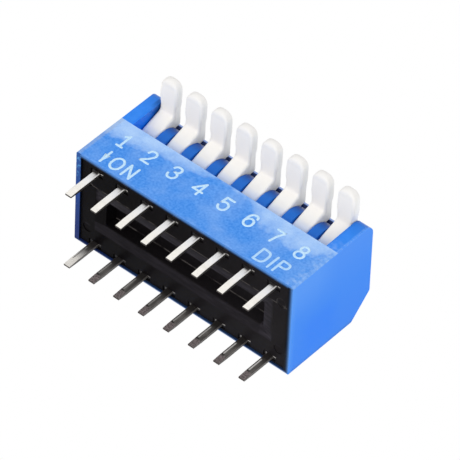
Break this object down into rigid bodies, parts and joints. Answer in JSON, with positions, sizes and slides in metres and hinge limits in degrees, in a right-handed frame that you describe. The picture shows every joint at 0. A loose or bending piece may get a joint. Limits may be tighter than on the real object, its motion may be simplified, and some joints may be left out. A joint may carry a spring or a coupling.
{
  "type": "dip switch",
  "caption": "Piano-style DIP switch: a row of side-acting levers in a blue cover over a dark base, with two rows of flat through-hole pins below.",
  "frame": {"origin": "centre of the pin pattern, on the seating plane where the cover's rim meets the board", "axes": "+X along the row from the first switch to the last, +Y from the printed face to the back, +Z away from the board"},
  "size_m": [0.0218, 0.0122, 0.0128],
  "materials": {
    "cover_plastic": "satin blue, matt on the printed face",
    "base_plastic": "black, slightly glossy",
    "lever_plastic": "satin off-white",
    "terminal_metal": "bright tin plate over copper alloy",
    "contact_metal": "gold-plated spring alloy"
  },
  "bodies": {
    "housing": {"cover": "cover_plastic", "base": "base_plastic", "front_terminal_1": "terminal_metal", "front_terminal_2": "terminal_metal", "front_terminal_3": "terminal_metal", "front_terminal_4": "terminal_metal", "front_terminal_5": "terminal_metal", "front_terminal_6": "terminal_metal", "front_terminal_7": "terminal_metal", "front_terminal_8": "terminal_metal", "rear_terminal_1": "terminal_metal", "rear_terminal_2": "terminal_metal", "rear_terminal_3": "terminal_metal", "rear_terminal_4": "terminal_metal", "rear_terminal_5": "terminal_metal", "rear_terminal_6": "terminal_metal", "rear_terminal_7": "terminal_metal", "rear_terminal_8": "terminal_metal"},
    "switch_1": {"lever_1": "lever_plastic", "contact_1": "contact_metal"},
    "switch_2": {"lever_2": "lever_plastic", "contact_2": "contact_metal"},
    "switch_3": {"lever_3": "lever_plastic", "contact_3": "contact_metal"},
    "switch_4": {"lever_4": "lever_plastic", "contact_4": "contact_metal"},
    "switch_5": {"lever_5": "lever_plastic", "contact_5": "contact_metal"},
    "switch_6": {"lever_6": "lever_plastic", "contact_6": "contact_metal"},
    "switch_7": {"lever_7": "lever_plastic", "contact_7": "contact_metal"},
    "switch_8": {"lever_8": "lever_plastic", "contact_8": "contact_metal"}
  },
  "joints": [
    {"name": "lever_1_tilt", "type": "hinge", "parent": "housing", "child": "switch_1", "pos_m": [-0.00889, -0.0023, 0.00685], "axis": [1, 0, 0], "range_deg": [0, 24]},
    {"name": "lever_2_tilt", "type": "hinge", "parent": "housing", "child": "switch_2", "pos_m": [-0.00635, -0.0023, 0.00685], "axis": [1, 0, 0], "range_deg": [0, 24]},
    {"name": "lever_3_tilt", "type": "hinge", "parent": "housing", "child": "switch_3", "pos_m": [-0.00381, -0.0023, 0.00685], "axis": [1, 0, 0], "range_deg": [0, 24]},
    {"name": "lever_4_tilt", "type": "hinge", "parent": "housing", "child": "switch_4", "pos_m": [-0.00127, -0.0023, 0.00685], "axis": [1, 0, 0], "range_deg": [0, 24]},
    {"name": "lever_5_tilt", "type": "hinge", "parent": "housing", "child": "switch_5", "pos_m": [0.00127, -0.0023, 0.00685], "axis": [1, 0, 0], "range_deg": [0, 24]},
    {"name": "lever_6_tilt", "type": "hinge", "parent": "housing", "child": "switch_6", "pos_m": [0.00381, -0.0023, 0.00685], "axis": [1, 0, 0], "range_deg": [0, 24]},
    {"name": "lever_7_tilt", "type": "hinge", "parent": "housing", "child": "switch_7", "pos_m": [0.00635, -0.0023, 0.00685], "axis": [1, 0, 0], "range_deg": [0, 24]},
    {"name": "lever_8_tilt", "type": "hinge", "parent": "housing", "child": "switch_8", "pos_m": [0.00889, -0.0023, 0.00685], "axis": [1, 0, 0], "range_deg": [0, 24]}
  ]
}
